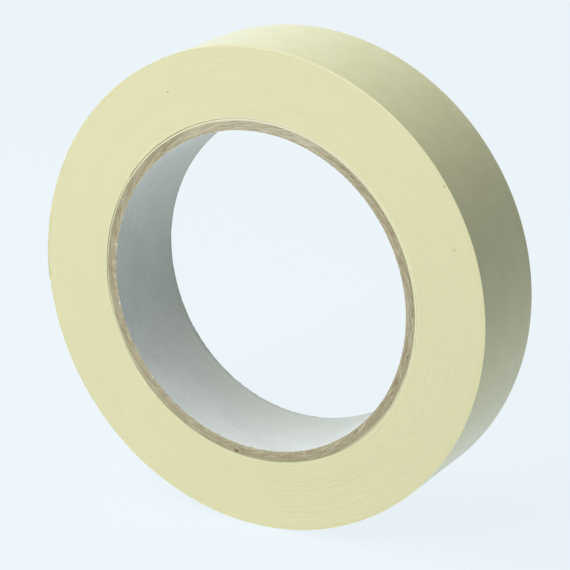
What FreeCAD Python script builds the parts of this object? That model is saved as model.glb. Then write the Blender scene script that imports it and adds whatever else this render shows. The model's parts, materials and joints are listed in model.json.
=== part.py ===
import FreeCAD, Part

import math
import os

# A roll of masking tape, 25 mm class, on a 3-inch spiral-wound board core.
#
# Frame: the roll stands on its rim. +Y runs along the bore from the front side face to the
# back one, +Z is up, and the origin is on the bore's axis halfway across the width.
# Angles round the roll are measured in the XZ plane, from +X towards +Z.
#
# The tape is wound so that its radius grows with the angle, up to the free end.

Vector = FreeCAD.Vector
BORE_AXIS = Vector(0, 1, 0)
ORIGIN = Vector(0, 0, 0)

# Driving dimensions, in millimetres and degrees
TAPE_WIDTH = 24.7
BORE_RADIUS = 38.25
ROLL_RADIUS = 57.75

LINER_THICKNESS = 0.41
BOARD_PLY_THICKNESS = 0.46
BOARD_PLIES = 4

SEAM_ANGLE = 30.7  # between a ply's butt seam and the roll's circumference
SEAM_GAP = 0.25
SEAM_START = 168.0  # where the innermost ply's seam meets the front face
SEAM_STAGGER = 90.0
KNIFE_OVERRUN = 1.0  # how far a seam's cutter runs past the ply on every side

BACKING_THICKNESS = 0.10  # creped paper
ADHESIVE_THICKNESS = 0.03
TAPE_THICKNESS = BACKING_THICKNESS + ADHESIVE_THICKNESS

FIRST_TURNS_THICKNESS = 0.33  # the first turns cling to the core
FIRST_TURNS_OFFSET = 0.07  # and are pulled to one side of it
FIRST_TURNS_SIDE = -40.0
PACK_SLACK = 0.12  # mean gap between the first turns and the tight pack

FREE_END = 186.0  # where the strip is torn off
TAB_ARC = 20.0  # the stretch of the end that lifts
TAB_CLEARANCE = 0.05
HINGE_GAP = 0.1

CORE_RADIUS = BORE_RADIUS + LINER_THICKNESS + BOARD_PLIES * BOARD_PLY_THICKNESS
HINGE_AT = FREE_END - TAB_ARC
PACK_BORE_RADIUS = CORE_RADIUS + FIRST_TURNS_THICKNESS + PACK_SLACK


def polar(radius, degrees, centre=ORIGIN):
    """A point on the front side face, at an angle round centre."""
    angle = math.radians(degrees)
    return centre + Vector(radius * math.cos(angle), -TAPE_WIDTH / 2, radius * math.sin(angle))


def arc(radius, start, end, centre=ORIGIN):
    middle = (start + end) / 2
    points = [polar(radius, degrees, centre) for degrees in (start, middle, end)]
    return Part.Arc(*points).toShape()


def disc(radius, centre=ORIGIN):
    return Part.Wire([arc(radius, 0, 180, centre), arc(radius, 180, 360, centre)])


def across_the_width(outline, hole=None):
    """Extrude an outline on the front side face to the back one."""
    wires = [outline] if hole is None else [outline, hole]
    face = Part.Face(wires, "Part::FaceMakerBullseye")
    return face.extrude(BORE_AXIS * TAPE_WIDTH)


def ring(inner_radius, outer_radius, outer_centre=ORIGIN):
    return across_the_width(disc(outer_radius, outer_centre), disc(inner_radius))


def seam_knife(inner_radius, outer_radius, front_angle):
    """The helical blade that parts a ply along its butt seam."""
    radius = (inner_radius + outer_radius) / 2
    pitch = 2 * math.pi * radius * math.tan(math.radians(SEAM_ANGLE))
    helix = Part.makeHelix(pitch, TAPE_WIDTH + 2 * KNIFE_OVERRUN, radius)
    reach = (outer_radius - inner_radius) / 2 + KNIFE_OVERRUN / 4
    rise = SEAM_GAP / math.cos(math.radians(SEAM_ANGLE)) / 2
    corners = [(-reach, -rise), (reach, -rise), (reach, rise), (-reach, rise), (-reach, -rise)]
    profile = Part.makePolygon([Vector(radius + x, 0, z) for x, z in corners])
    knife = Part.Wire(helix.Edges).makePipeShell([profile], True, True)
    # the helix climbs +Z, so it is laid along +Y, its start just before the front face
    knife.rotate(ORIGIN, Vector(1, 0, 0), -90)
    knife.translate(BORE_AXIS * (-TAPE_WIDTH / 2 - KNIFE_OVERRUN))
    overrun_angle = 360 * KNIFE_OVERRUN / pitch
    knife.rotate(ORIGIN, BORE_AXIS, -(front_angle + overrun_angle))
    return knife


def board_ply(number):
    """One strip of core board, wound in a helix: its two edges meet in a butt seam."""
    inner = BORE_RADIUS + LINER_THICKNESS + (number - 1) * BOARD_PLY_THICKNESS
    outer = inner + BOARD_PLY_THICKNESS
    seam = SEAM_START + (number - 1) * SEAM_STAGGER
    return ring(inner, outer).cut(seam_knife(inner, outer, seam))


def first_turns():
    shift = Vector(math.cos(math.radians(FIRST_TURNS_SIDE)), 0, math.sin(math.radians(FIRST_TURNS_SIDE)))
    return ring(CORE_RADIUS, CORE_RADIUS + FIRST_TURNS_THICKNESS, shift * FIRST_TURNS_OFFSET)


def spiral_centre(half_turn):
    """Centre of the spiral's first (0) or second (1) half turn, counted from the hinge."""
    angle = math.radians(HINGE_AT)
    side = (half_turn - 0.5) * TAPE_THICKNESS / 2
    return Vector(math.cos(angle), 0, math.sin(angle)) * side


# Radii of the pack's two half turns: each is half a tape thickness larger than the one before
OUTER_HALF_RADIUS = ROLL_RADIUS - TAPE_THICKNESS / 4
INNER_HALF_RADIUS = OUTER_HALF_RADIUS - TAPE_THICKNESS / 2


def wound_pack():
    """The tight turns: the outside is a spiral that steps by one tape thickness at the hinge."""
    rising = arc(INNER_HALF_RADIUS, HINGE_AT, HINGE_AT + 180, spiral_centre(0))
    last = arc(OUTER_HALF_RADIUS, HINGE_AT + 180, HINGE_AT + 360, spiral_centre(1))
    step = Part.LineSegment(last.Vertexes[1].Point, rising.Vertexes[0].Point).toShape()
    return across_the_width(Part.Wire([rising, last, step]), disc(PACK_BORE_RADIUS))


def tab_layer(height, thickness):
    """A layer of the free end, at a height above the turn that it lies on."""
    centre = spiral_centre(0)
    inner = INNER_HALF_RADIUS + TAB_CLEARANCE + height
    outer = inner + thickness
    start = HINGE_AT + math.degrees(HINGE_GAP / ROLL_RADIUS)
    under = arc(inner, start, FREE_END, centre)
    over = arc(outer, FREE_END, start, centre)
    tip = Part.LineSegment(under.Vertexes[1].Point, over.Vertexes[0].Point).toShape()
    root = Part.LineSegment(over.Vertexes[1].Point, under.Vertexes[0].Point).toShape()
    return across_the_width(Part.Wire([under, tip, over, root]))


def build():
    pieces = {"core_liner": ring(BORE_RADIUS, BORE_RADIUS + LINER_THICKNESS)}
    for number in range(1, BOARD_PLIES + 1):
        pieces[f"core_board_ply_{number}"] = board_ply(number)
    pieces["tape_first_turns"] = first_turns()
    pieces["tape_wound_pack"] = wound_pack()
    pieces["tape_end_adhesive"] = tab_layer(0, ADHESIVE_THICKNESS)
    pieces["tape_end_backing"] = tab_layer(ADHESIVE_THICKNESS, BACKING_THICKNESS)
    return pieces


def main():
    os.makedirs("parts", exist_ok=True)
    for name, piece in build().items():
        if not piece.isValid() or len(piece.Solids) != 1:
            raise ValueError(f"{name} is not one valid solid")
        piece.Solids[0].exportStep(f"parts/{name}.step")
        print(f"{name}: {piece.Volume:.1f} mm3")
    hinge = polar(INNER_HALF_RADIUS + TAB_CLEARANCE + TAPE_THICKNESS, HINGE_AT, spiral_centre(0))
    print(f"hinge axis at x {hinge.x:.3f}, z {hinge.z:.3f} mm")


main()
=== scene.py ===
"""A roll of masking tape standing on its rim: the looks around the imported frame.

Metres, in the frame of the CAD: +Y runs along the bore, from the front side face to the back
one, and +Z is up. Angles round the roll are measured in the XZ plane, from +X towards +Z.
"""
import json
import math

import bpy
import numpy as np
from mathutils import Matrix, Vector

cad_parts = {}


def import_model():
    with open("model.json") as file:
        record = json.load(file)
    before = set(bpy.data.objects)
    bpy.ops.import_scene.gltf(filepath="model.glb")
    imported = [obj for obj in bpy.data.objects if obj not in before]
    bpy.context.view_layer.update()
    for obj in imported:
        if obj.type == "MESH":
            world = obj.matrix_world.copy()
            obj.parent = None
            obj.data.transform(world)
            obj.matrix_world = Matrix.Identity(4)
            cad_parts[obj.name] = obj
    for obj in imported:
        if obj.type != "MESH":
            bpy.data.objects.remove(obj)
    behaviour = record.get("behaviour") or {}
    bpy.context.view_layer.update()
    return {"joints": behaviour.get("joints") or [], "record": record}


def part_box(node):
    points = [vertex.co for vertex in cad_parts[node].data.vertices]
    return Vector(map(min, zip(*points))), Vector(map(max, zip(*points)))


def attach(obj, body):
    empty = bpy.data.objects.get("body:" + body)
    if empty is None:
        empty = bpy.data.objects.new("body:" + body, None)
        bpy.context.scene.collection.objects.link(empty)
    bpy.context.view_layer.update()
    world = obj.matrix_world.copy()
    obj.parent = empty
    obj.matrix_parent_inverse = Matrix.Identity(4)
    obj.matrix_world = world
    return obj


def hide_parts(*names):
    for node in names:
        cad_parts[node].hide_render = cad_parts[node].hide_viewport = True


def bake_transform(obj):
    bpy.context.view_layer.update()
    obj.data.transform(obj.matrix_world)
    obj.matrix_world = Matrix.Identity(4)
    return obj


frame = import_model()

MM = 0.001

# ---------------------------------------------------------------- sizes, from the frame
record = frame["record"]
bore_mount = next(m for m in record["mounts"] if m["name"] == "core_bore")
pack_low, pack_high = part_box("tape_wound_pack")
hinge = Vector(frame["joints"][0]["pos_m"])

BORE_RADIUS = bore_mount["dims"]["r_mm"] * MM
LINER_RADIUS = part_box("core_liner")[1].x
CORE_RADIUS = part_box("core_board_ply_4")[1].x
PLIES = 4
PLY_THICKNESS = (CORE_RADIUS - LINER_RADIUS) / PLIES
HALF_WIDTH = (pack_high.y - pack_low.y) / 2
ROLL_RADIUS = (pack_high.z - pack_low.z) / 2
FLOOR_HEIGHT = pack_low.z

TAPE_THICKNESS = 0.13 * MM
ADHESIVE_THICKNESS = 0.03 * MM
BACKING_THICKNESS = TAPE_THICKNESS - ADHESIVE_THICKNESS
PACK_BORE_RADIUS = CORE_RADIUS + 0.45 * MM
HINGE_ANGLE = math.degrees(math.atan2(hinge.z, hinge.x))
TAB_ARC = 20.0
FREE_END = HINGE_ANGLE + TAB_ARC
OUTER_START = FREE_END - 400.0  # where the visible outer turn begins, under the free end
TAB_START = FREE_END - 42.0  # where the outer turn hands over to the strip that bends
BEND_LENGTH = 5 * MM  # of tape past the hinge; nothing curls the free end over it
TIP_LIFT = 0.10 * MM  # how far the cut end stands off the turn under it

# ---------------------------------------------------------------- seeded noise
NOISE_TABLE = np.random.default_rng(20).uniform(-1, 1, (1021, 61))


def noise(u, v=0.0):
    """Smooth noise between -1 and 1, one lattice cell per unit of u and of v."""
    u, v = np.broadcast_arrays(np.asarray(u, float), np.asarray(v, float))
    row, column = np.floor(u).astype(int), np.floor(v).astype(int)
    fu, fv = u - row, v - column
    fu, fv = fu * fu * (3 - 2 * fu), fv * fv * (3 - 2 * fv)
    rows, columns = NOISE_TABLE.shape
    near = NOISE_TABLE[row % rows, column % columns] * (1 - fu)
    near += NOISE_TABLE[(row + 1) % rows, column % columns] * fu
    far = NOISE_TABLE[row % rows, (column + 1) % columns] * (1 - fu)
    far += NOISE_TABLE[(row + 1) % rows, (column + 1) % columns] * fu
    return near * (1 - fv) + far * fv


# ---------------------------------------------------------------- meshes
def polar(radius, degrees, y):
    angle = np.radians(degrees)
    parts = np.broadcast_arrays(radius * np.cos(angle), y, radius * np.sin(angle))
    return np.stack(parts, axis=-1)


def make_mesh(name, points, strip, faces, material):
    """points and strip are [vertex, 3]; strip holds where a point lies on the paper, in mm."""
    mesh = bpy.data.meshes.new(name)
    mesh.from_pydata(points.tolist(), [], faces)
    layer = mesh.attributes.new("strip", "FLOAT_VECTOR", "POINT")
    layer.data.foreach_set("vector", strip.astype(np.float32).ravel())
    mesh.materials.append(material)
    mesh.shade_smooth()
    mesh.set_sharp_from_angle(angle=math.radians(35))
    piece = bpy.data.objects.new(name, mesh)
    bpy.context.scene.collection.objects.link(piece)
    return piece


def sweep(name, rings, strip, material, closed):
    """A solid swept through rings, [along, round the section, xyz]. Closed ones join up."""
    count, size = rings.shape[:2]
    index = np.arange(count * size).reshape(count, size)
    here = index if closed else index[:-1]
    ahead = np.roll(index, -1, axis=0) if closed else index[1:]
    quads = [here, ahead, np.roll(ahead, -1, axis=1), np.roll(here, -1, axis=1)]
    faces = np.stack(quads, axis=-1).reshape(-1, 4).tolist()
    if not closed:
        faces += [index[0].tolist(), index[-1][::-1].tolist()]
    return make_mesh(name, rings.reshape(-1, 3), strip.reshape(-1, 3), faces, material)


def strip_place(degrees, across, radius):
    """Where points lie on the paper: mm along the turn, mm across, and mm from the bore's axis."""
    parts = np.broadcast_arrays(np.radians(degrees) * radius / MM, across / MM, radius / MM)
    return np.stack(parts, axis=-1)


# ---------------------------------------------------------------- shader nodes
class Shader:
    """A material's node tree, with short calls for the nodes that the papers here need."""

    def __init__(self, name, roughness, specular=0.35, coat=0.0):
        self.material = bpy.data.materials.new(name)
        self.material.use_nodes = True
        self.tree = self.material.node_tree
        self.surface = self.tree.nodes["Principled BSDF"]
        self.surface.inputs["Roughness"].default_value = roughness
        self.surface.inputs["Specular IOR Level"].default_value = specular
        self.surface.inputs["Coat Weight"].default_value = coat
        # the coat whitens a surface only where it is seen at a grazing angle
        self.surface.inputs["Coat Roughness"].default_value = 0.25
        self.surface.inputs["Coat IOR"].default_value = 1.25
        self.place = self.add("ShaderNodeAttribute", attribute_name="strip").outputs["Vector"]

    def add(self, kind, **settings):
        node = self.tree.nodes.new(kind)
        for key, value in settings.items():
            setattr(node, key, value)
        return node

    def feed(self, socket, value):
        """Link value to socket if it's a socket itself, and otherwise set it."""
        if isinstance(value, bpy.types.NodeSocket):
            self.tree.links.new(value, socket)
        else:
            socket.default_value = value

    def stretched(self, along, across, radial, shift=0.0):
        """The place on the paper, in cells per mm along, across and away from the bore's axis."""
        node = self.add("ShaderNodeVectorMath", operation="MULTIPLY_ADD")
        self.feed(node.inputs[0], self.place)
        node.inputs[1].default_value = (along, across, radial)
        node.inputs[2].default_value = (shift, shift, shift)
        return node.outputs[0]

    def noise(self, vector, detail=2.0, roughness=0.5, distortion=0.0):
        node = self.add("ShaderNodeTexNoise", noise_dimensions="3D")
        self.feed(node.inputs["Vector"], vector)
        node.inputs["Scale"].default_value = 1.0  # stretched() sets the size of the cells
        node.inputs["Detail"].default_value = detail
        node.inputs["Roughness"].default_value = roughness
        node.inputs["Distortion"].default_value = distortion
        return node.outputs["Fac"]

    def spread(self, value, low, high, to_low=0.0, to_high=1.0):
        """Stretch the values between low and high to between to_low and to_high, and clip them."""
        node = self.add("ShaderNodeMapRange", interpolation_type="SMOOTHSTEP")
        for socket, given in zip(node.inputs, (value, low, high, to_low, to_high)):
            self.feed(socket, given)
        return node.outputs[0]

    def maths(self, operation, a, b=0.0):
        node = self.add("ShaderNodeMath", operation=operation)
        self.feed(node.inputs[0], a)
        self.feed(node.inputs[1], b)
        return node.outputs[0]

    def product(self, a, b):
        return self.maths("MULTIPLY", a, b)

    def mixed(self, factor, first, second):
        node = self.add("ShaderNodeMix", data_type="RGBA", blend_type="MIX")
        self.feed(node.inputs[0], factor)
        self.feed(node.inputs[6], first)
        self.feed(node.inputs[7], second)
        return node.outputs[2]

    def separate(self, vector):
        node = self.add("ShaderNodeSeparateXYZ")
        self.feed(node.inputs[0], vector)
        return node.outputs

    def spot(self, x, y, z, size):
        """1 at a place given in mm from the bore's centre, falling to 0 at that distance from it."""
        place = self.add("ShaderNodeTexCoord").outputs["Object"]
        gap = self.add("ShaderNodeVectorMath", operation="DISTANCE")
        self.feed(gap.inputs[0], place)
        gap.inputs[1].default_value = Vector((x, y, z)) * MM
        return self.spread(gap.outputs["Value"], 0.5 * size * MM, size * MM, 1, 0)

    def bump(self, height, depth, normal=None):
        """Relief of a given depth, in metres, for a height between 0 and 1."""
        node = self.add("ShaderNodeBump")
        node.inputs["Distance"].default_value = depth
        self.feed(node.inputs["Height"], height)
        if normal:
            self.feed(node.inputs["Normal"], normal)
        return node.outputs[0]

    def finish(self, colour, normal):
        self.feed(self.surface.inputs["Base Color"], colour)
        self.feed(self.surface.inputs["Normal"], normal)
        return self.material


def srgb(red, green, blue):
    """A colour written as 0 to 255 in sRGB, as Blender's linear one."""
    parts = [c / 255 for c in (red, green, blue)]
    linear = [c / 12.92 if c <= 0.04045 else ((c + 0.055) / 1.055) ** 2.4 for c in parts]
    return (*linear, 1.0)


# ---------------------------------------------------------------- materials
FRONT = -HALF_WIDTH / MM  # the front face's place along the bore, in mm
FACE_SPECKS = [  # x and z in mm, size in mm, colour
    (-23.1, 44.5, 0.34, (206, 158, 118)),
    (47.0, 32.2, 0.46, (196, 190, 146)),
    (49.7, 18.2, 0.46, (198, 193, 150)),
]
BOARD_NICK = [(-5.85, -39.80), (-5.35, -39.90)]  # one short dash, x and z in mm
RIM_CHIPS = [  # pale nicks in the liner's front rim: x and z in mm, size in mm
    (-37.5, -8.5, 0.60),
    (-28.5, -25.7, 0.45),
    (-37.9, 5.8, 0.48),
    (-23.1, 30.4, 0.45),
]
PAINTED_SHADE_ARC = (195, 352)  # degrees where the first turns are greyer: painted shade, where they lie back
FOLD_ARC = (206, 268)  # degrees where a pale fold line runs along the liner's rolled rim


def crepe_paper():
    """The creped backing: wrinkles run across the strip, with fibre and faint blotches."""
    s = Shader("creped_paper", roughness=0.5, specular=0.15, coat=1.0)
    wrinkle = s.noise(s.stretched(2.6, 0.55, 0), detail=3, roughness=0.6, distortion=0.5)
    fine = s.noise(s.stretched(2.2, 1.5, 0, 9), detail=4, roughness=0.7)
    blotch = s.noise(s.stretched(0.14, 0.20, 0, 4), detail=2)
    colour = s.mixed(s.spread(blotch, 0.3, 0.7), srgb(222, 221, 172), srgb(227, 226, 180))
    crest = s.spread(wrinkle, 0.34, 0.66)
    colour = s.mixed(crest, s.mixed(0.16, colour, srgb(196, 190, 138)), colour)
    colour = s.mixed(s.spread(fine, 0.42, 0.68, 0, 0.20), colour, srgb(204, 199, 150))
    normal = s.bump(wrinkle, 0.030 * MM)
    return s.finish(colour, s.bump(fine, 0.012 * MM, normal))


def wound_edges(name, painted_light_and_shade=False):
    """The side faces: edges of the turns, so every change of tone runs round the roll."""
    s = Shader(name, roughness=0.66, specular=0.35)
    turn = s.noise(s.stretched(0.012, 0, 7.0), detail=2, roughness=0.6)
    group = s.noise(s.stretched(0.006, 0, 1.3, 5), detail=3, roughness=0.55)
    cloud = s.noise(s.stretched(0.05, 0, 0.12, 11), detail=2)
    grain = s.noise(s.stretched(1.6, 4.5, 2.4, 17), detail=4, roughness=0.75)
    tone = s.maths("ADD", s.product(turn, 0.5), s.product(group, 0.5))
    colour = s.mixed(s.spread(tone, 0.34, 0.66), srgb(220, 215, 173), srgb(223, 219, 179))
    colour = s.mixed(s.spread(cloud, 0.35, 0.7, 0, 0.5), colour, srgb(216, 213, 175))
    colour = s.mixed(s.spread(grain, 0.40, 0.70, 0, 0.22), colour, srgb(203, 198, 153))
    dash = s.noise(s.stretched(0.35, 0, 2.6, 29), detail=3, roughness=0.6)
    colour = s.mixed(s.spread(dash, 0.48, 0.66, 0, 0.45), colour, srgb(205, 200, 154))
    along, across, radius = s.separate(s.place)
    outside, inside, half = ROLL_RADIUS / MM, PACK_BORE_RADIUS / MM, HALF_WIDTH / MM
    colour = s.mixed(s.spread(radius, outside - 0.9, outside - 0.1, 0, 0.55), colour, srgb(213, 209, 162))
    # painted highlight: the outer rim of the front face is paler at the top, where the lamps fall on it
    painted_highlight_rim = s.product(s.spread(radius, outside - 0.6, outside - 0.2), s.spot(14, FRONT, 55, 34))
    colour = s.mixed(s.product(painted_highlight_rim, 0.7), colour, srgb(238, 235, 200))
    colour = s.mixed(s.spread(radius, inside + 0.1, inside + 0.7, 0.6, 0), colour, srgb(222, 222, 182))
    if painted_light_and_shade:  # the turns on the core: paler at the top, a painted highlight, and greyer low down, painted shade where they lie back
        colour = s.mixed(s.product(s.spot(8, FRONT, 40, 28), 0.6), colour, srgb(228, 221, 203))
        low, high = (math.radians(degrees) * CORE_RADIUS / MM for degrees in PAINTED_SHADE_ARC)
        # painted shade over that arc
        grey = s.product(s.spread(along, low, low + 18), s.spread(along, high - 18, high, 1, 0))
        colour = s.mixed(s.product(grey, 0.8), colour, srgb(188, 188, 158))
    for x, z, size, stain in FACE_SPECKS:
        colour = s.mixed(s.spot(x, FRONT, z, size), colour, srgb(*stain))
    # behind the face, the walls of the crescent gap lie in shade
    behind = s.spread(s.maths("ABSOLUTE", across), half - 0.35, half - 0.12, 0.8, 0)
    colour = s.mixed(behind, colour, srgb(170, 168, 136))
    normal = s.bump(turn, 0.03 * MM)
    return s.finish(colour, s.bump(grain, 0.02 * MM, normal))


def core_board(name, tone):
    """Raw cut board: fibres along the ply, pale and dark flecks."""
    s = Shader(name, roughness=0.85, specular=0.2)
    fibre = s.noise(s.stretched(1.5, 3.0, 3.6), detail=5, roughness=0.72, distortion=0.6)
    clump = s.noise(s.stretched(0.45, 1.0, 0.9, 6), detail=3, roughness=0.6)
    fleck = s.noise(s.stretched(1.25, 1.4, 1.1, 61), detail=4, roughness=0.8)
    colour = s.mixed(s.spread(fibre, 0.38, 0.62), srgb(142, 130, 101), srgb(194, 186, 157))
    colour = s.mixed(s.spread(clump, 0.3, 0.7, 0, 0.55), colour, tone)
    # painted light: the board is paler at the top, where the lamps fall on it
    painted_light_top = s.product(s.spot(0, FRONT, 39.5, 26), 0.58)
    colour = s.mixed(painted_light_top, colour, srgb(214, 207, 182))
    colour = s.mixed(s.spread(fleck, 0.50, 0.58, 0, 0.78), colour, srgb(136, 122, 94))
    colour = s.mixed(s.spread(fleck, 0.41, 0.49, 0.66, 0), colour, srgb(214, 207, 184))
    dark = s.spread(s.noise(s.stretched(0.8, 3, 3, 21), detail=2), 0.62, 0.72, 0, 0.75)
    colour = s.mixed(dark, colour, srgb(104, 88, 62))
    pale = s.spread(s.noise(s.stretched(0.9, 3, 3, 44), detail=2), 0.64, 0.74, 0, 0.6)
    colour = s.mixed(pale, colour, srgb(216, 210, 190))
    for x, z in BOARD_NICK:
        colour = s.mixed(s.spot(x, FRONT, z, 0.38), colour, srgb(106, 86, 62))
    normal = s.bump(clump, 0.12 * MM)
    return s.finish(colour, s.bump(fibre, 0.10 * MM, normal))


def liner_paper():
    """Pale grey paper in the bore; its rims are torn and worn, and cut through they look like board."""
    s = Shader("bore_liner_paper", roughness=0.5, specular=0.25)
    blotch = s.noise(s.stretched(0.10, 0.16, 0), detail=3, roughness=0.55)
    grain = s.noise(s.stretched(2.2, 2.6, 2.0, 8), detail=3, roughness=0.65)
    colour = s.mixed(s.spread(blotch, 0.3, 0.7), srgb(209, 214, 212), srgb(220, 225, 222))
    mottle = s.noise(s.stretched(0.5, 0.7, 0, 31), detail=4, roughness=0.7)
    colour = s.mixed(s.spread(mottle, 0.48, 0.66, 0, 0.30), colour, srgb(199, 204, 201))
    along, along_bore, radius = s.separate(s.place)
    half = HALF_WIDTH / MM
    # painted reflection: the paper turns warmer towards the back rim, for warm light reflected inside the
    # bore
    colour = s.mixed(s.spread(along_bore, -half, half, 0, 0.8), colour, srgb(217, 222, 214))
    colour = s.mixed(s.spread(grain, 0.35, 0.75, 0, 0.30), colour, srgb(190, 196, 190))
    speck = s.spread(s.noise(s.stretched(1.3, 1.3, 1.3, 25), detail=1), 0.70, 0.76, 0, 0.30)
    colour = s.mixed(speck, colour, srgb(158, 156, 144))
    fibre = s.noise(s.stretched(1.1, 1.0, 5.0, 12), detail=3, roughness=0.65)
    board = s.mixed(s.spread(fibre, 0.35, 0.65), srgb(156, 146, 116), srgb(184, 176, 146))
    torn = s.noise(s.stretched(0.75, 0.9, 0.9, 3), detail=4, roughness=0.75)
    # how far, in mm, the surface is torn away from the rims; never less than a hair
    reach = s.maths("MAXIMUM", s.product(s.maths("SUBTRACT", torn, 0.52), 3.2), 0.03)
    rim_back = s.spread(s.maths("ADD", along_bore, reach), half - 0.9, half - 0.2, 0, 0.55)
    colour = s.mixed(rim_back, colour, srgb(176, 168, 148))
    wavering = s.maths("ADD", along_bore, s.product(reach, 0.25))
    from_fold = s.maths("ABSOLUTE", s.maths("SUBTRACT", wavering, half - 2.4))
    start, end = (math.radians(degrees) * BORE_RADIUS / MM for degrees in FOLD_ARC)
    folded = s.product(s.spread(along, start, start + 8), s.spread(along, end - 6, end, 1, 0))
    fold_line = s.product(folded, s.spread(from_fold, 0.05, 0.30, 0.75, 0))
    colour = s.mixed(fold_line, colour, srgb(240, 243, 236))
    # how far round the corner from the bore on to the cut edge: below 0 in the bore
    to_rim = s.maths("SUBTRACT", BORE_RADIUS / MM + half, s.maths("ABSOLUTE", along_bore))
    corner = s.maths("SUBTRACT", radius, to_rim)
    bare = s.spread(s.maths("ADD", corner, reach), -0.04, 0.08)
    colour = s.mixed(bare, colour, board)
    for x, z, size in RIM_CHIPS:
        colour = s.mixed(s.spot(x, FRONT + 0.25, z, size), colour, srgb(216, 212, 195))
    return s.finish(colour, s.bump(grain, 0.03 * MM))


def adhesive():
    """A tacky film under the free end: slightly glossy, with the crepe showing through."""
    s = Shader("adhesive_film", roughness=0.32, specular=0.5)
    wrinkle = s.noise(s.stretched(1.9, 0.30, 0), detail=3, roughness=0.6, distortion=0.4)
    colour = s.mixed(s.spread(wrinkle, 0.3, 0.7), srgb(214, 205, 150), srgb(228, 221, 172))
    return s.finish(colour, s.bump(wrinkle, 0.05 * MM))


# ---------------------------------------------------------------- the tape
EDGE_ROOM = 0.05 * MM  # kept free at both sides for the wander of the edges
TURN_STEPS = 192  # points round each wound turn
STRIP_COLUMNS = 22  # points across the strip's surface
STEPS_PER_DEGREE = 6
END_JAG = 0.35  # degrees that the cut end is jagged by


def strip_radius(degrees):
    """Outside radius of the tape where it has been wound to that angle: a spiral."""
    return ROLL_RADIUS - TAPE_THICKNESS * (FREE_END - np.asarray(degrees)) / 360


def wander(degrees):
    """How far a turn's edge strays sideways, from its own stretch of tape and its neighbours."""
    along = np.asarray(degrees) * 0.85
    own = 0.009 * noise(along / 21, 3.5) + 0.006 * noise(along / 6, 7.5)
    group = 0.012 * noise(along / 360 / 5, 11.5) + 0.006 * noise(along / 360 / 1.7, 15.5)
    return (own + group) * MM


def wound_turns(material):
    """Every turn under the outer one, as one spiral: a ridge for each turn's edge."""
    steps = TURN_STEPS
    turns = int((strip_radius(OUTER_START) - PACK_BORE_RADIUS) / TAPE_THICKNESS)
    count = turns * steps + 1
    k = np.arange(count)
    degrees = OUTER_START - 360.0 * (count - 1 - k) / steps
    outside = strip_radius(degrees)
    valley = outside - TAPE_THICKNESS
    ridge = outside - TAPE_THICKNESS * np.where(k >= count - 1 - steps, 0.0, 0.45)
    groove = (0.012 + 0.006 * noise(degrees / 14, 21.5)) * MM
    shift = wander(degrees)
    grids = []
    for side in (-1, 1):
        face = side * (HALF_WIDTH - EDGE_ROOM) + shift
        grids += [polar(valley, degrees, face - side * groove), polar(ridge, degrees, face)]
    points = np.stack(grids, axis=1)
    radii = np.stack([valley, ridge, valley, ridge], axis=1)
    strip = strip_place(degrees[:, None], points[..., 1], radii)

    index = np.arange(count * 4).reshape(count, 4).T
    front_low, front_high, back_low, back_high = index

    def quads(a, b):
        return np.stack([a[:-1], a[1:], b[1:], b[:-1]], axis=-1).tolist()

    last = count - 1 - steps
    faces = quads(front_high, front_low) + quads(back_low, back_high)
    faces += quads(front_low[steps:], front_high[: last + 1])
    faces += quads(back_high[: last + 1], back_low[steps:])
    faces += quads(front_low[: steps + 1], back_low[: steps + 1])
    faces += quads(back_high[last:], front_high[last:])
    start = [front_low[0], front_high[0], front_low[steps], back_low[steps], back_high[0], back_low[0]]
    end = [front_high[last], front_low[-1], front_high[-1], back_high[-1], back_low[-1], back_high[last]]
    faces += [[int(i) for i in start], [int(i) for i in reversed(end)]]
    return make_mesh("wound_turns", points.reshape(-1, 3), strip.reshape(-1, 3), faces, material)


def crepe_height(degrees, across):
    """Wrinkles of the backing: short along the strip and long across it."""
    along = degrees * math.radians(1) * ROLL_RADIUS / MM
    width = across / MM
    bend = 0.5 * noise(width / 5, 31.5)
    coarse = noise(along / 0.62 + bend, width / 4.5)
    fine = noise(along / 0.34 + bend, width / 1.8 + 20)
    return (0.008 * coarse + 0.004 * fine) * MM


def tape_strip(name, start, end, depth, thickness, material, jag=0.0, lift=0.0):
    """A stretch of the strip between two angles: depth is how far its top lies under the outside."""
    count = int((end - start) * STEPS_PER_DEGREE) + 1
    degrees = np.linspace(start, end, count)[:, None]
    column = np.linspace(-1, 1, STRIP_COLUMNS)[None, :]
    across = column * (HALF_WIDTH - EDGE_ROOM) + wander(degrees)
    fray = 0.010 * MM * noise(degrees * 2.2, 41.5) * column
    across = across + fray * (np.abs(column) > 0.99)
    near_end = np.clip((degrees - (FREE_END - 3)) / 3, 0, 1)
    angle = degrees + near_end * jag * noise(across / MM / 0.8, 51.5)
    top = strip_radius(degrees) - depth + lift * np.clip((degrees - start) / (end - start), 0, 1) ** 3
    relief = crepe_height(degrees, across) - 0.012 * MM
    outer = polar(top + relief, angle, across)
    inner = polar(top - thickness + 0.3 * relief, angle, across)
    rings = np.concatenate([outer, inner[:, ::-1]], axis=1)
    place = strip_place(degrees, across, top)
    strip = np.concatenate([place, place[:, ::-1]], axis=1)
    return sweep(name, rings, strip, material, closed=False)


# ---------------------------------------------------------------- the core
SEAM_ANGLE = 30.7  # between a ply's butt seam and the roll's circumference
SEAM_START = 168.0
SEAM_STAGGER = 90.0
SEAM_GAP = 0.25 * MM
PLY_STEPS = 900
LAP_START = 35.0  # the liner's lap, where it meets the front face
LAP_STEP = 0.10  # mm
ROLLED_ARC = (196, 272)  # degrees where the liner's back rim is rolled outward


def seam_lean(radius):
    """Degrees that a helical seam turns back for each metre across the width."""
    return math.degrees(1 / (math.tan(math.radians(SEAM_ANGLE)) * radius))


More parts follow.
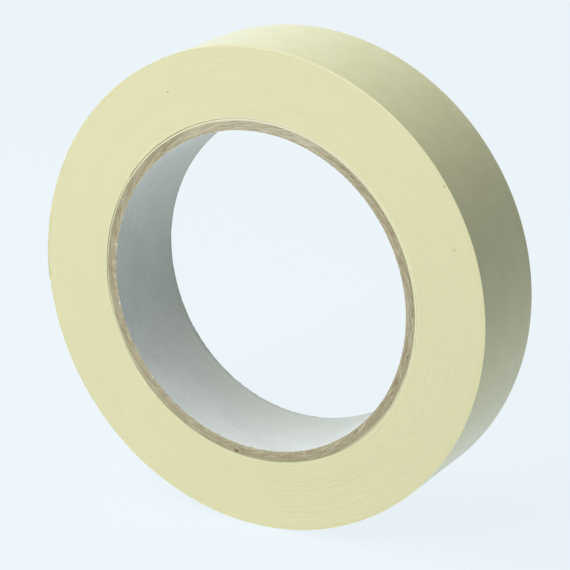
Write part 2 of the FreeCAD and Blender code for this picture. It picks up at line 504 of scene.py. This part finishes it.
def rim(degrees, side, seed, wave=0.05, nicks=0.10):
    """Where a cut paper or board edge ends: a little rough, with a few deeper nicks."""
    rough = wave * (0.6 * noise(degrees * 1.1, seed) + 0.4 * noise(degrees * 2.9, seed + 3))
    nick = nicks * np.clip(noise(degrees / 1.7, seed + 6) - 0.55, 0, 1) / 0.45
    return side * (HALF_WIDTH - (0.01 + wave + rough + nick) * MM)


def board_ply(number, material):
    """A helically wound strip of board: its ends meet in a slanting butt seam."""
    inner = LINER_RADIUS + (number - 1) * PLY_THICKNESS
    outer = inner + PLY_THICKNESS
    gap = math.degrees(SEAM_GAP / math.sin(math.radians(SEAM_ANGLE)) / outer)
    first = SEAM_START + (number - 1) * SEAM_STAGGER
    turn = np.linspace(first + gap / 2, first + 360 - gap / 2, PLY_STEPS)[:, None]
    lean = seam_lean((inner + outer) / 2)
    columns = np.linspace(-1, 1, 7)[None, :]

    def grid(radius, seed):
        across = columns * HALF_WIDTH + 0 * turn
        across[:, 0] = rim(turn[:, 0], -1, seed)
        across[:, -1] = rim(turn[:, 0], 1, seed + 9)
        angle = turn - lean * (across + HALF_WIDTH)
        return polar(radius, angle, across), strip_place(angle, across, radius)

    seed = 10.5 * number
    outside = grid(outer, seed)
    middle = grid((inner + outer) / 2, seed + 1)
    inside = grid(inner, seed + 2)
    loops = []
    for kind in (0, 1):
        out, mid, into = outside[kind], middle[kind], inside[kind]
        loops.append(np.concatenate([out, mid[:, -1:], into[:, ::-1], mid[:, :1]], axis=1))
    return sweep(f"core_board_ply_{number}_cut", loops[0], loops[1], material, closed=False)


def bore_liner(material):
    """The paper lining: a lapped seam, ragged rims and a stretch of the back rim rolled outward."""
    turn = np.linspace(0, 360, PLY_STEPS + 1)[:-1, None]
    columns = np.linspace(-1, 1, 40)[None, :]
    across = columns * HALF_WIDTH + 0 * turn
    across[:, 0] = rim(turn[:, 0], -1, 4.5)
    across[:, -1] = rim(turn[:, 0], 1, 14.5, wave=0.16, nicks=0.45)

    past_lap = (turn - LAP_START + seam_lean(BORE_RADIUS) * (across + HALF_WIDTH)) % 360
    lap = LAP_STEP * np.clip(past_lap / 0.25, 0, 1) * np.clip((360 - past_lap) / 40, 0, 1)
    from_back = HALF_WIDTH - 2.5 * MM - across
    first, last = ROLLED_ARC
    rolled = np.clip((turn - first) / 14, 0, 1) * np.clip((last - turn) / 12, 0, 1)
    flare = rolled * 0.16 * np.clip(-from_back / (1.2 * MM), 0, 1)
    crease = rolled * 0.05 * np.exp(-((from_back / (0.22 * MM)) ** 2))
    wave = 0.02 * noise(turn / 9, across / MM / 6) + 0.02
    ease = 0.05 - 0.05 * np.cos(np.radians(turn - 30))
    inner_radius = BORE_RADIUS + (wave + flare - crease + ease - lap).clip(0.005) * MM
    outer_radius = np.full_like(across, LINER_RADIUS)
    radius = np.concatenate([outer_radius[:, ::-1], inner_radius], axis=1)
    y = np.concatenate([across[:, ::-1], across], axis=1)
    return sweep("bore_liner", polar(radius, turn, y), strip_place(turn, y, radius), material, closed=True)


def first_turns(material):
    """The turns that cling to the core, with a crescent gap between them and the tight pack."""
    low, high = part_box("tape_first_turns")
    offset = (low + high) / 2
    outer_radius = (high.x - low.x) / 2
    turn = np.linspace(0, 360, 721)[:-1, None]
    side = np.array([[-1, 1]])
    # the front edge lies back by 0.22 mm low down, from 205 to 320 degrees
    low_side = np.clip((turn - 205) / 20, 0, 1) * np.clip((320 - turn) / 20, 0, 1)
    shift = 0.02 * MM * noise(turn / 20, 27.5)
    shift = shift + np.array([[0.22, 0.0]]) * MM * low_side
    # the crescent gap is narrower from 5 to 122 degrees and round 130, and wider round 168
    closed = np.clip((turn - 5) / 25, 0, 1) * np.clip((122 - turn) / 28, 0, 1)
    bulge = (0.03 + 0.03 * np.cos(np.radians(turn + 40)).clip(0) + 0.12 * closed) * MM
    bulge = bulge + 0.10 * np.clip(1.5 - abs(turn - 130) / 28, 0, 1) * MM
    bulge = bulge - 0.09 * np.clip(1.9 - abs(turn - 168) / 18, 0, 1) * MM
    outer = polar(outer_radius + bulge, turn, side * (HALF_WIDTH - EDGE_ROOM) + shift)
    outer += np.array([offset.x, 0, offset.z])
    inner = polar(CORE_RADIUS, turn, -side * (HALF_WIDTH - EDGE_ROOM) + shift[:, ::-1])
    loop = np.concatenate([outer, inner], axis=1)
    place = strip_place(turn, loop[..., 1], np.hypot(loop[..., 0], loop[..., 2]))
    return sweep("first_turns_on_core", loop, place, material, closed=True)


# ---------------------------------------------------------------- assembly
def put(piece, node, body="roll"):
    """A piece stands for a CAD node. It rides on body, or on none if it spans two."""
    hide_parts(node)
    if body:
        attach(piece, body)
    return piece


def bend_at_hinge(piece):
    """Bakes the piece's placing into its mesh; the strip isn't curled, and the points worked out past the
    hinge go unused.
    """
    past = math.degrees(BEND_LENGTH / ROLL_RADIUS)
    start = Vector(polar(ROLL_RADIUS, HINGE_ANGLE, 0.0).tolist())
    end = Vector(polar(ROLL_RADIUS, HINGE_ANGLE + past, 0.0).tolist())
    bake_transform(piece)


def free_end(name, depth, thickness, material):
    """One layer of the strip's last stretch, from where the outer turn stops to the cut."""
    return tape_strip(name, TAB_START, FREE_END, depth, thickness, material, END_JAG, TIP_LIFT)


crepe, edges, sticky = crepe_paper(), wound_edges("wound_tape_edges"), adhesive()

put(wound_turns(edges), "tape_wound_pack")
outer_turn = tape_strip("outer_turn", OUTER_START, TAB_START, 0, TAPE_THICKNESS, crepe)
put(outer_turn, "tape_wound_pack")

backing = free_end("free_end_backing", 0, BACKING_THICKNESS, crepe)
put(backing, "tape_end_backing", body=None)
bend_at_hinge(backing)
film = free_end("free_end_adhesive", BACKING_THICKNESS, ADHESIVE_THICKNESS, sticky)
put(film, "tape_end_adhesive", body=None)
bend_at_hinge(film)

put(first_turns(wound_edges("first_turns_edges", painted_light_and_shade=True)), "tape_first_turns")
board_tones = [(182, 174, 148), (172, 162, 132), (166, 156, 126), (174, 166, 140)]
for number, tone in enumerate(board_tones, start=1):
    board = core_board(f"core_board_{number}", srgb(*tone))
    put(board_ply(number, board), f"core_board_ply_{number}")
put(bore_liner(liner_paper()), "core_liner")


# ---------------------------------------------------------------- studio
BACKDROP = srgb(237, 246, 251)
FLOOR_SIZE = 6.0
FLOOR_COLOUR = srgb(232, 238, 241)
FLOOR_GLOW = 0.93  # the backdrop's share in the floor's colour; the rest takes the shadow
WORLD_COLOUR = (0.95, 0.98, 1.0, 1.0)
WORLD_STRENGTH = 0.05
LAMP_DISTANCE = 1.3

CAMERA_AZIMUTH, CAMERA_ELEVATION = 29.54, 18.50
CAMERA_DISTANCE, CAMERA_LENS = 0.5676, 153.95
CAMERA_TARGET = Vector((0.607, -0.078, -1.375)) * MM


def seen_or_mirrored(tree):
    """1 for what the camera sees, itself or in a gloss, and 0 for light on its way to the roll."""
    path, either = tree.nodes.new("ShaderNodeLightPath"), tree.nodes.new("ShaderNodeMath")
    either.operation = "MAXIMUM"
    tree.links.new(path.outputs["Is Camera Ray"], either.inputs[0])
    tree.links.new(path.outputs["Is Glossy Ray"], either.inputs[1])
    return either.outputs[0]


def floor():
    """A pale floor in the backdrop's colour, which still takes a little of the roll's shadow."""
    mesh = bpy.data.meshes.new("floor")
    half = FLOOR_SIZE / 2
    corners = [(-half, -half), (half, -half), (half, half), (-half, half)]
    mesh.from_pydata([(x, y, FLOOR_HEIGHT) for x, y in corners], [], [(0, 1, 2, 3)])
    obj = bpy.data.objects.new("floor", mesh)
    bpy.context.scene.collection.objects.link(obj)
    material = bpy.data.materials.new("floor")
    material.use_nodes = True
    tree = material.node_tree
    tree.nodes.clear()
    add = tree.nodes.new
    output, blend = add("ShaderNodeOutputMaterial"), add("ShaderNodeMixShader")
    matt, glow = add("ShaderNodeBsdfDiffuse"), add("ShaderNodeEmission")
    share = add("ShaderNodeMath")
    share.operation = "MULTIPLY"
    share.inputs[1].default_value = FLOOR_GLOW
    matt.inputs["Color"].default_value = FLOOR_COLOUR
    glow.inputs["Color"].default_value = BACKDROP
    tree.links.new(seen_or_mirrored(tree), share.inputs[0])
    tree.links.new(share.outputs[0], blend.inputs[0])
    tree.links.new(matt.outputs[0], blend.inputs[1])
    tree.links.new(glow.outputs[0], blend.inputs[2])
    tree.links.new(blend.outputs[0], output.inputs["Surface"])
    mesh.materials.append(material)


def world():
    """Even light for the roll, and the backdrop's colour where the camera looks past the floor."""
    scene_world = bpy.data.worlds.new("studio")
    bpy.context.scene.world = scene_world
    scene_world.use_nodes = True
    tree = scene_world.node_tree
    tree.nodes.clear()
    add = tree.nodes.new
    output, blend = add("ShaderNodeOutputWorld"), add("ShaderNodeMixShader")
    light, glow = add("ShaderNodeBackground"), add("ShaderNodeBackground")
    light.inputs["Color"].default_value = WORLD_COLOUR
    light.inputs["Strength"].default_value = WORLD_STRENGTH
    glow.inputs["Color"].default_value = BACKDROP
    tree.links.new(seen_or_mirrored(tree), blend.inputs[0])
    tree.links.new(light.outputs[0], blend.inputs[1])
    tree.links.new(glow.outputs[0], blend.inputs[2])
    tree.links.new(blend.outputs[0], output.inputs["Surface"])


def direction(azimuth, elevation):
    """The way from the roll towards something: azimuth 0 is in front of it, -Y, and 90 is +X."""
    a, e = math.radians(azimuth), math.radians(elevation)
    return Vector((math.sin(a) * math.cos(e), -math.cos(a) * math.cos(e), math.sin(e)))


def softbox(name, azimuth, elevation, size, power):
    lamp = bpy.data.lights.new(name, "AREA")
    lamp.shape = "DISK"
    lamp.size = size
    lamp.energy = power
    obj = bpy.data.objects.new(name, lamp)
    towards = direction(azimuth, elevation)
    obj.location = towards * LAMP_DISTANCE
    obj.rotation_euler = towards.to_track_quat("Z", "Y").to_euler()
    obj.visible_glossy = False  # matt paper shows the pale room, not the lamps
    bpy.context.scene.collection.objects.link(obj)


def camera():
    data = bpy.data.cameras.new("camera")
    data.sensor_width = 36
    data.lens = CAMERA_LENS
    obj = bpy.data.objects.new("camera", data)
    towards = direction(CAMERA_AZIMUTH, CAMERA_ELEVATION)
    obj.location = CAMERA_TARGET + towards * CAMERA_DISTANCE
    obj.rotation_euler = towards.to_track_quat("Z", "Y").to_euler()
    bpy.context.scene.collection.objects.link(obj)
    bpy.context.scene.camera = obj


floor()
world()
camera()
softbox("front", azimuth=-12, elevation=43, size=0.7, power=13.0)
softbox("left", azimuth=-66, elevation=61, size=0.7, power=8.2)
softbox("low_left", azimuth=-100, elevation=40, size=0.7, power=2.2)
softbox("back", azimuth=180, elevation=3, size=0.4, power=4.0)

bpy.context.scene.view_settings.view_transform = "Standard"
